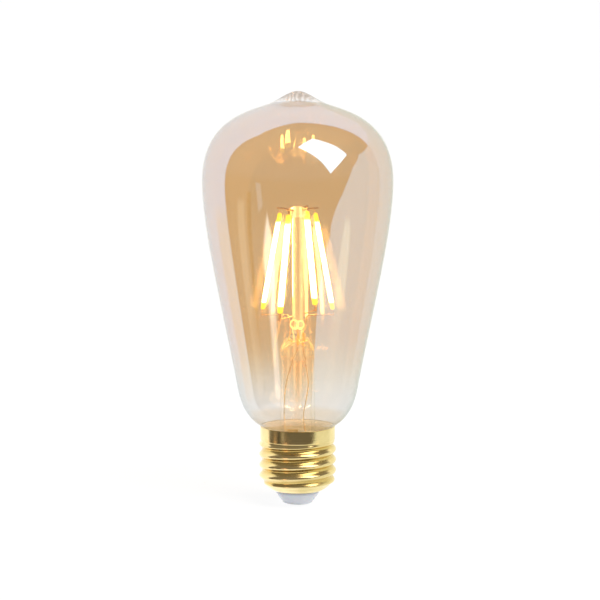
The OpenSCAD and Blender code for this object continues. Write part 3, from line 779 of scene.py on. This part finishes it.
def build_lower_wires():
    """The wires to the filaments' feet. Two are fed by a lead-in, and the others end in the press."""
    for i, angle in enumerate(FILAMENT_ANGLES, 1):
        outer = [polar(12.25, angle, ARM_Z + 0.15), polar(9.0, angle, ARM_Z), polar(5.4, angle, ARM_Z - 0.05),
                 polar(3.3, angle, ARM_Z - 0.3)]
        if i in FED_BY:
            x, y = LEAD_FEET[FED_BY[i]]
            rest = [polar(2.75, angle, ARM_Z - 2.2), polar(2.7, angle, POST_Z + 3.6),
                    Vector((x, y, POST_Z + 1.6)), Vector((x, y, POST_Z + 0.8))]
        else:
            rest = [polar(2.7, angle, ARM_Z - 2.2), polar(2.6, angle, POST_Z + 3),
                    polar(2.6, angle, POST_Z - 2.6)]
        shape = Shape()
        shape.tube(smooth_path(outer + rest), SUPPORT_D)
        shape.piece(f"lower_wire_{i}", [NICKEL_WITH_PAINTED_GLOW], "nickel_wire", f"lower_support_wire_{i}")


def build_curls():
    """Cut wire ends, curled round in front of the foot of the post."""
    shape = Shape()
    for x, y, z, r, side in ((-1.15, -3.4, 62.0, 1.5, 1), (0.95, -3.1, 61.8, 1.35, -1)):
        turns = []
        for k in range(CURL_STEPS + 1):
            a = math.radians(-110 + CURL_TURN * k / CURL_STEPS)
            grow = r * (1.08 - 0.42 * k / CURL_STEPS)
            turns.append(Vector((x + side * grow * math.cos(a), y + 0.9 * k / CURL_STEPS - 0.4,
                                 z + 1.1 * grow * math.sin(a))))
        lead = [Vector((x, y + 0.9, POST_Z - 0.9)), Vector((x - side * 0.2, y + 0.3, POST_Z + 0.8))]
        shape.tube(smooth_path(lead + turns[::2] + [turns[-1]], 6), 0.3)
    shape.piece("curled_ends", [PAINTED_GLOW_WIRE], "nickel_wire", "wire_curls")


def build_leads():
    """The two crimped sleeves and the wires that run from them down to the board's pads."""
    sleeves = Shape()
    for x, y in LEAD_FEET:
        path = [Vector((x, y, POST_Z - 2.4 + 3.4 * k / 10)) for k in range(11)]
        sleeves.tube(path, 0.95, 20, radius_at=lambda t: 0.82 + 0.3 * math.sin(math.pi * t) ** 2)
    sleeves.piece("lead_sleeves", [PAINTED_GLOW_SLEEVE], "copper_wire", "lead_crimps")
    paths = [
        [(2.3, -1.6, 50.0), (3.2, -1.2, 45.0), (3.6, -0.9, 41.0), (3.0, -1.4, 36.5), (2.0, -1.9, 31.0),
         (2.3, -1.4, 26.5), (3.2, PAD_Y, 22.5), (3.2, PAD_Y, PAD_Z)],
        [(-1.4, -2.2, 50.0), (-3.1, -1.6, 44.8), (-4.1, -1.1, 40.0), (-4.5, -0.8, 35.0), (-4.5, PAD_Y, 29.0),
         (-3.9, PAD_Y, 23.5), (-3.8, PAD_Y, PAD_Z)],
    ]
    for i, (foot, rest) in enumerate(zip(LEAD_FEET, paths), 1):
        points = [(foot[0], foot[1], POST_Z + 0.8), (foot[0], foot[1], PRESS_Z + 4.5)] + rest
        shape = Shape()
        shape.tube(smooth_path(points), LEAD_D * 0.8)
        shape.piece(f"lead_in_{i}", [COPPER_WITH_PAINTED_GLOW], "copper_wire", f"lead_in_wire_{i}")


# ---- the cap -----------------------------------------------------------------------

THREAD_PITCH = 3.629
THREAD_DEPTH = 1.05
THREAD_R = (26.1 - THREAD_DEPTH) / 2
THREAD_Z0, THREAD_Z1 = 7.0, 22.0
FIRST_CREST_Z = 8.0
COLLAR_R = 12.7
LIP_Z = 4.55
SHELL_WALL = 0.3
FOOT_TAPER, FOOT_TAPER_H = 1.2, 3.0
THREAD_ROWS, SHELL_STEPS = 150, 192


def thread_wave(z, angle):
    """How far the rolled thread stands out there, and how deep in a root the place is, from 0 to 1."""
    rise = max(0, min(1, (z - THREAD_Z0 + 0.6) / 1.6))
    fall = max(0, min(1, (THREAD_Z1 - z) / 1.6))
    rise, fall = (v * v * (3 - 2 * v) for v in (rise, fall))
    phase = 2 * math.pi * (z - FIRST_CREST_Z) / THREAD_PITCH - angle
    wave = math.cos(phase)
    return rise * fall * THREAD_DEPTH / 2 * wave, rise * fall * (0.5 - 0.5 * wave)


def build_cap():
    side = []
    for i in range(THREAD_ROWS + 1):
        z = THREAD_Z0 + (THREAD_Z1 - THREAD_Z0) * i / THREAD_ROWS
        side.append((THREAD_R - FOOT_TAPER * max(0.0, 1 - (z - THREAD_Z0) / FOOT_TAPER_H) ** 2, z))
    foot = bezier((7.6, LIP_Z), (8.9, LIP_Z + 0.2), (10.3, 5.9), side[0], 16)
    collar_foot = (COLLAR_R, THREAD_Z1 + 0.5)
    collar = (bezier((THREAD_R, THREAD_Z1 + 0.05), (THREAD_R, THREAD_Z1 + 0.3), (COLLAR_R, THREAD_Z1 + 0.1),
                     collar_foot, 6)
              + [collar_foot, (COLLAR_R, 24.5), (COLLAR_R - 0.02, COLLAR_TOP - 0.4)])
    outer = foot + side + collar
    lip = arc((outer[-1][0] - SHELL_WALL / 2, COLLAR_TOP - 0.15), SHELL_WALL / 2, 0, 180, 8)
    loop = outer + lip + list(reversed(inset(outer, SHELL_WALL)))
    shape = Shape()
    shape.revolve(loop, SHELL_STEPS, closed=True, wobble=lambda r, z, a: (r + thread_wave(z, a)[0], z))
    obj = shape.piece("screw_shell", [GOLD], "gold_cap", "cap_shell")
    roots = [thread_wave(z, 2 * math.pi * k / SHELL_STEPS)[1] for r, z in loop for k in range(SHELL_STEPS)]
    obj.data.attributes.new("groove", "FLOAT", "POINT").data.foreach_set("value", roots)


def build_insulator():
    top = 6.3
    line = ([(1.4, 0.42), (3.8, 0.42)] + bezier((4.7, 0.42), (5.05, 0.42), (5.15, 0.6), (5.2, 1.0), 8)
            + [(5.2, 1.0), (5.75, 1.6), (6.3, 2.4), (6.8, 3.1), (7.2, 3.7), (7.4, 4.1)]
            + [(7.4, 4.5), (7.3, 4.8), (8.1, 5.0), (8.3, 5.3), (8.3, top), (1.4, top)])
    shape = Shape()

    def dimpled(r, z, angle):
        if z > 3.6 or r < 4.6:
            return r, z
        dent = sum(math.exp(-((math.degrees(angle) - a) / 7) ** 2 - ((z - 2.4) / 0.7) ** 2)
                   for a in (245, 298))
        return r - 0.22 * dent, z

    shape.revolve(line, 160, closed=True, wobble=dimpled)
    shape.piece("insulator_cone", [INSULATOR], "insulator", "insulator")


def build_contact():
    line = ([(0.0, 0.0), (1.6, 0.0), (3.2, 0.0)] + arc((3.3, 0.2), 0.2, -90, 0, 6)
            + [(3.5, 0.4), (1.38, 0.4), (1.38, 6.35), (1.9, 6.35)]
            + [(1.9, 6.55), (1.0, 6.55), (1.0, 0.42), (0.0, 0.42)])
    shape = Shape()
    shape.revolve(line, 96)
    shape.piece("base_contact", [TIN], "tinned_contact", "centre_contact")


def build_cement():
    """Cement between neck and collar. It follows the glass up to just under the rim, with a crumbly top."""
    low, high = box_mm("basing_cement")
    outer = high[0] - 0.05
    top = COLLAR_TOP - 0.12
    line = [(NECK_R + 0.04, low[2])] + [(outer, low[2] + (top - low[2]) * k / 8) for k in range(9)]
    line += [(r + 0.04, z) for r, z in reversed(glass_side()) if NECK_TOP_Z - 0.1 < z < top and r < outer]
    shape = Shape()

    def crumbly(r, z, angle):
        if z < top - 0.3:
            return r, z
        return r, z + 0.06 * noise.noise(Vector((r * math.cos(angle), r * math.sin(angle), z)) * 1.5)

    shape.revolve(line, 128, closed=True, wobble=crumbly)
    shape.piece("cement_ring", [CEMENT_WITH_PAINTED_GLOW], "cement", "basing_cement")


# ---- pieces inside the cap keep their CAD shapes ---------------------------------------

def board_look():
    """Green solder mask with tracks and pads showing through."""
    look = Look("circuit_board")
    cells = look.node("ShaderNodeTexBrick", Vector=look.place(), Scale=260.0, Mortar_Size=0.03,
                      Color1=rgb(0.01, 0.16, 0.05), Color2=rgb(0.012, 0.19, 0.06),
                      Mortar=rgb(0.03, 0.30, 0.11))
    grain = look.noise(1500.0, 3.0)
    tint = look.mix_colour(look.times(grain, 0.3), cells.outputs[0], rgb(0.02, 0.24, 0.08))
    return principled(look, Base_Color=tint, Roughness=look.ramp(grain, 0.3, 0.7, 0.25, 0.4),
                      Normal=look.bump(cells.outputs[1], 0.3, 0.00005))


def winding_look():
    """Enamelled copper wire wound in layers."""
    look = Look("inductor_winding")
    wire = look.node("ShaderNodeTexWave", {"bands_direction": "Z"}, Vector=look.place(), Scale=900.0)
    tint = look.mix_colour(wire.outputs[1], rgb(0.16, 0.05, 0.015), rgb(0.62, 0.25, 0.08))
    return principled(look, Base_Color=tint, Metallic=0.7, Roughness=0.3,
                      Normal=look.bump(wire.outputs[1], 0.6, 0.0001))


def dress_inner_nodes():
    chip = moulded("chip_black", rgb(0.022, 0.022, 0.024), rgb(0.03, 0.03, 0.034), 0.4, 0.6, 1800.0, 0.2)
    looks = {
        "filament_strip": moulded("ceramic_strip", rgb(0.90, 0.90, 0.86), rgb(0.84, 0.84, 0.78), 0.4, 0.6,
                                  1500.0),
        "led_chips": moulded("led_die", rgb(0.88, 0.90, 0.62), rgb(0.80, 0.84, 0.50), 0.15, 0.3, 2500.0),
        "contact_solder": metal("solder", rgb(0.66, 0.67, 0.68), rgb(0.52, 0.53, 0.54), 0.25, 0.5),
        "driver_board": board_look(),
        "bridge_rectifier": chip,
        "driver_chip": chip,
        "bulk_capacitor": moulded("capacitor_sleeve", rgb(0.06, 0.10, 0.22), rgb(0.05, 0.08, 0.18), 0.15, 0.3,
                                  600.0, Coat_Weight=0.4),
        "power_inductor": winding_look(),
        "fusible_resistor": moulded("resistor_lacquer", rgb(0.22, 0.36, 0.36), rgb(0.17, 0.30, 0.30), 0.25,
                                    0.45, 1100.0, 0.3, Coat_Weight=0.3),
        "radio_module": metal("shield_can", rgb(0.74, 0.75, 0.76), rgb(0.66, 0.67, 0.68), 0.2, 0.35, 700.0,
                              (8, 1, 1)),
        "antenna": metal("gilt_strip", rgb(0.88, 0.66, 0.28), rgb(0.78, 0.56, 0.22), 0.18, 0.32),
        "live_wire": moulded("red_insulation", rgb(0.55, 0.035, 0.03), rgb(0.46, 0.03, 0.025), 0.35, 0.5,
                             900.0),
        "neutral_wire": NICKEL_WITH_PAINTED_GLOW,
    }
    for name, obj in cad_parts.items():
        key = name.rstrip("_0123456789")
        if key in looks:
            obj.data.materials.clear()
            obj.data.materials.append(looks[key])


build_envelope()
build_stem()
build_button()
build_exhaust()
for number, angle in enumerate(FILAMENT_ANGLES, 1):
    build_filament(number, angle)
build_top_wires()
build_lower_wires()
build_curls()
build_leads()
build_cap()
build_insulator()
build_contact()
build_cement()
dress_inner_nodes()


# ---- floor, light and camera ------------------------------------------------------------

FLOOR_RADIUS, FLOOR_SIDES, FLOOR_DROP = 9.0, 64, 0.0002


def build_floor():
    """A plain white light table. Most of its white is its own light, so the lamp's shadow on it is faint."""
    look = Look("light_table")
    white = look.mix_colour(look.noise(40.0, 3.0), rgb(0.12, 0.12, 0.12), rgb(0.13, 0.13, 0.13))
    table = look.node("ShaderNodeBsdfDiffuse", Color=white)
    mesh = bpy.data.meshes.new("floor")
    turns = [2 * math.pi * k / FLOOR_SIDES for k in range(FLOOR_SIDES)]
    ring = [(FLOOR_RADIUS * math.cos(a), FLOOR_RADIUS * math.sin(a), 0) for a in turns]
    mesh.from_pydata(ring, [], [tuple(range(FLOOR_SIDES))])
    mesh.materials.append(look.surface(look.both(table, look.glow(rgb(1, 1, 1), 0.90))))
    floor = bpy.data.objects.new("floor", mesh)
    bpy.context.scene.collection.objects.link(floor)
    floor.location.z = -FLOOR_DROP
    floor.visible_glossy = False


class WorldLook(Look):
    """The scene's world and its node graph."""

    def __init__(self):
        self.material = world = bpy.data.worlds.new("studio")
        world.use_nodes = True
        self.tree = world.node_tree
        self.tree.nodes.clear()
        self.output = self.node("ShaderNodeOutputWorld")
        bpy.context.scene.world = world


def toward(azimuth, z):
    """A direction at so many degrees to the right of the front, with its height."""
    level = math.sqrt(1 - z * z)
    return (level * math.sin(math.radians(azimuth)), -level * math.cos(math.radians(azimuth)), z)


# What the lamp mirrors: the directions of each patch's corners, in order round it.
WINDOW = [toward(0, 0.855), toward(53, 0.962), toward(74, 0.54), toward(41, 0.205)]
LOW_CARD = [toward(-38, -0.24), toward(-50.5, -0.44), toward(-45.5, -0.545), toward(-35, -0.555),
            toward(-29.5, -0.44)]
SIDE_CARD = [toward(-53, 0.06), toward(-44, 0.03), toward(-42, -0.25), toward(-50, -0.30)]
RIGHT_CARD = [toward(61, -0.28), toward(70, -0.28), toward(77.5, -0.455), toward(54, -0.50)]
WARM_STRIP = [toward(-79, -0.16), toward(-65, -0.17), toward(-72, -0.47), toward(-88, -0.47)]
DARK_STRIP = [toward(-63, -0.10), toward(-56, -0.10), toward(-63, -0.48), toward(-71, -0.48)]
LEFT_WARMTH = [toward(-94, -0.16), toward(-126, -0.16), toward(-134, -0.46), toward(-92, -0.48)]

# The warm ones: corners, width of the soft edge, colour and strength.
WARM_CARDS = (
    (LOW_CARD, 0.055, rgb(1.0, 0.55, 0.33), 3.2),
    (RIGHT_CARD, 0.05, rgb(1.0, 0.65, 0.28), 0.72),
    (WARM_STRIP, 0.06, rgb(1.0, 0.58, 0.28), 0.5),
)
WINDOW_STRENGTH, SIDE_CARD_STRENGTH, DARK_STRIP_SHARE = 3.4, 0.36, 0.15
BACKDROP_STRENGTH, SEEN_STRENGTH = 1.15, 1.08


def build_world():
    """White behind and on the right, dark towards the camera, with a window, cards and strips.

    The camera itself sees plain white.
    """
    look = WorldLook()
    way = look.node("ShaderNodeTexCoord").outputs["Generated"]
    x, y, z = look.node("ShaderNodeSeparateXYZ", _0=way).outputs[:3]

    def line(value, low, high, to_low, to_high):
        return look.ramp(value, low, high, to_low, to_high, "LINEAR")

    def pane(corners, soft):
        """1 inside the corner directions and 0 outside them, with a soft edge."""
        middle = sum((Vector(c) for c in corners), Vector()).normalized()
        inside = None
        for a, b in zip(corners, corners[1:] + corners[:1]):
            normal = Vector(a).cross(Vector(b)).normalized()
            if normal.dot(middle) < 0:
                normal.negate()
            reach = look.node("ShaderNodeVectorMath", {"operation": "DOT_PRODUCT"}, _0=way, _1=tuple(normal))
            edge = look.ramp(reach.outputs["Value"], 0.0, soft)
            inside = look.times(inside, edge) if inside else edge
        return inside

    edge = line(x, -0.5, 0.0, 0.15, 0.45)
    backdrop = look.times(BACKDROP_STRENGTH, look.ramp(look.math("SUBTRACT", y, edge), -0.03, 0.03))
    lean = look.plus(line(z, -0.34, -0.15, -1.08, -0.70), line(z, -0.15, 0.25, 0.0, 0.375))
    lean = look.plus(lean, line(z, 0.25, 0.414, 0.0, 0.305))
    lean = look.plus(lean, line(z, -0.53, -0.38, -0.70, 0.0))
    beside = look.ramp(look.math("SUBTRACT", y, look.times(lean, x)), -0.025, 0.025)
    right_wall = look.times(look.times(beside, look.ramp(x, 0.0, 0.05)),
                           look.ramp(z, 0.43, 0.47, 0.97, 0.0))
    white = look.math("MAXIMUM", backdrop, right_wall)
    dusk = look.ramp(look.math("ABSOLUTE", look.plus(z, 0.12)), 0.08, 0.35, 0.16, 0.24)
    table = look.ramp(z, -0.64, -0.5, 0.95, 0.0)
    level = look.math("MAXIMUM", look.math("MAXIMUM", dusk, white), table)
    left_wall = look.mix_colour(pane(LEFT_WARMTH, 0.14), rgb(1.12, 1.12, 1.12), rgb(1.35, 1.03, 0.82))
    white = look.mix_colour(right_wall, left_wall, rgb(0.95, 0.98, 0.88))
    tint = look.mix_colour(look.math("MINIMUM", level, 1.0), rgb(1.0, 0.87, 0.70), white)
    level = look.times(level, look.ramp(pane(DARK_STRIP, 0.03), 0.0, 1.0, 1.0, DARK_STRIP_SHARE))
    level = look.plus(level, look.times(pane(WINDOW, 0.01), WINDOW_STRENGTH))
    level = look.plus(level, look.times(pane(SIDE_CARD, 0.04), SIDE_CARD_STRENGTH))
    room = look.node("ShaderNodeBackground", Color=tint, Strength=level)
    fading = look.ramp(z, -0.56, -0.44, 0.35, 1.0)
    for corners, soft, colour, strength in WARM_CARDS:
        strength = look.times(look.times(pane(corners, soft), strength), fading)
        room = look.both(room, look.node("ShaderNodeBackground", Color=colour, Strength=strength))
    seen = look.node("ShaderNodeBackground", Color=rgb(1, 1, 1), Strength=SEEN_STRENGTH)
    camera_ray = look.node("ShaderNodeLightPath").outputs["Is Camera Ray"]
    look.surface(look.either(camera_ray, room, seen))


def look_at(obj, target):
    obj.rotation_euler = (Vector(target) - obj.location).to_track_quat("-Z", "Y").to_euler()


SOFTBOX_PLACE, SOFTBOX_AIM = (0.577, -0.6, 1.0), (0, 0, 0.11)
SOFTBOX_SIZE, SOFTBOX_ENERGY = (1.15, 0.72), 10.0


def build_lights():
    """One large softbox, high on the right in front. What the lamp mirrors there is the world's window."""
    data = bpy.data.lights.new("softbox", "AREA")
    data.shape = "RECTANGLE"
    data.size, data.size_y = SOFTBOX_SIZE
    data.energy = SOFTBOX_ENERGY
    data.color = (0.96, 0.98, 1.0)
    obj = bpy.data.objects.new("softbox", data)
    bpy.context.scene.collection.objects.link(obj)
    obj.location = SOFTBOX_PLACE
    look_at(obj, SOFTBOX_AIM)
    obj.visible_camera = False
    obj.visible_glossy = False


CAMERA_ELEVATION = 8.2
CAMERA_DISTANCE = 1.3
CAMERA_TARGET = (0.0008, 0, 0.0698)
VIEW_WIDTH = 0.2027


def build_camera():
    data = bpy.data.cameras.new("camera")
    data.sensor_width = 36.0
    data.lens = data.sensor_width * CAMERA_DISTANCE / VIEW_WIDTH
    camera = bpy.data.objects.new("camera", data)
    bpy.context.scene.collection.objects.link(camera)
    target = Vector(CAMERA_TARGET)
    lift = math.radians(CAMERA_ELEVATION)
    camera.location = target + CAMERA_DISTANCE * Vector((0, -math.cos(lift), math.sin(lift)))
    look_at(camera, target)
    bpy.context.scene.camera = camera


build_floor()
build_world()
build_lights()
build_camera()

scene = bpy.context.scene
scene.view_settings.view_transform = "Standard"
scene.cycles.transparent_max_bounces = 32
scene.cycles.transmission_bounces = 16
scene.cycles.max_bounces = 20
scene.cycles.caustics_reflective = False
scene.cycles.caustics_refractive = False
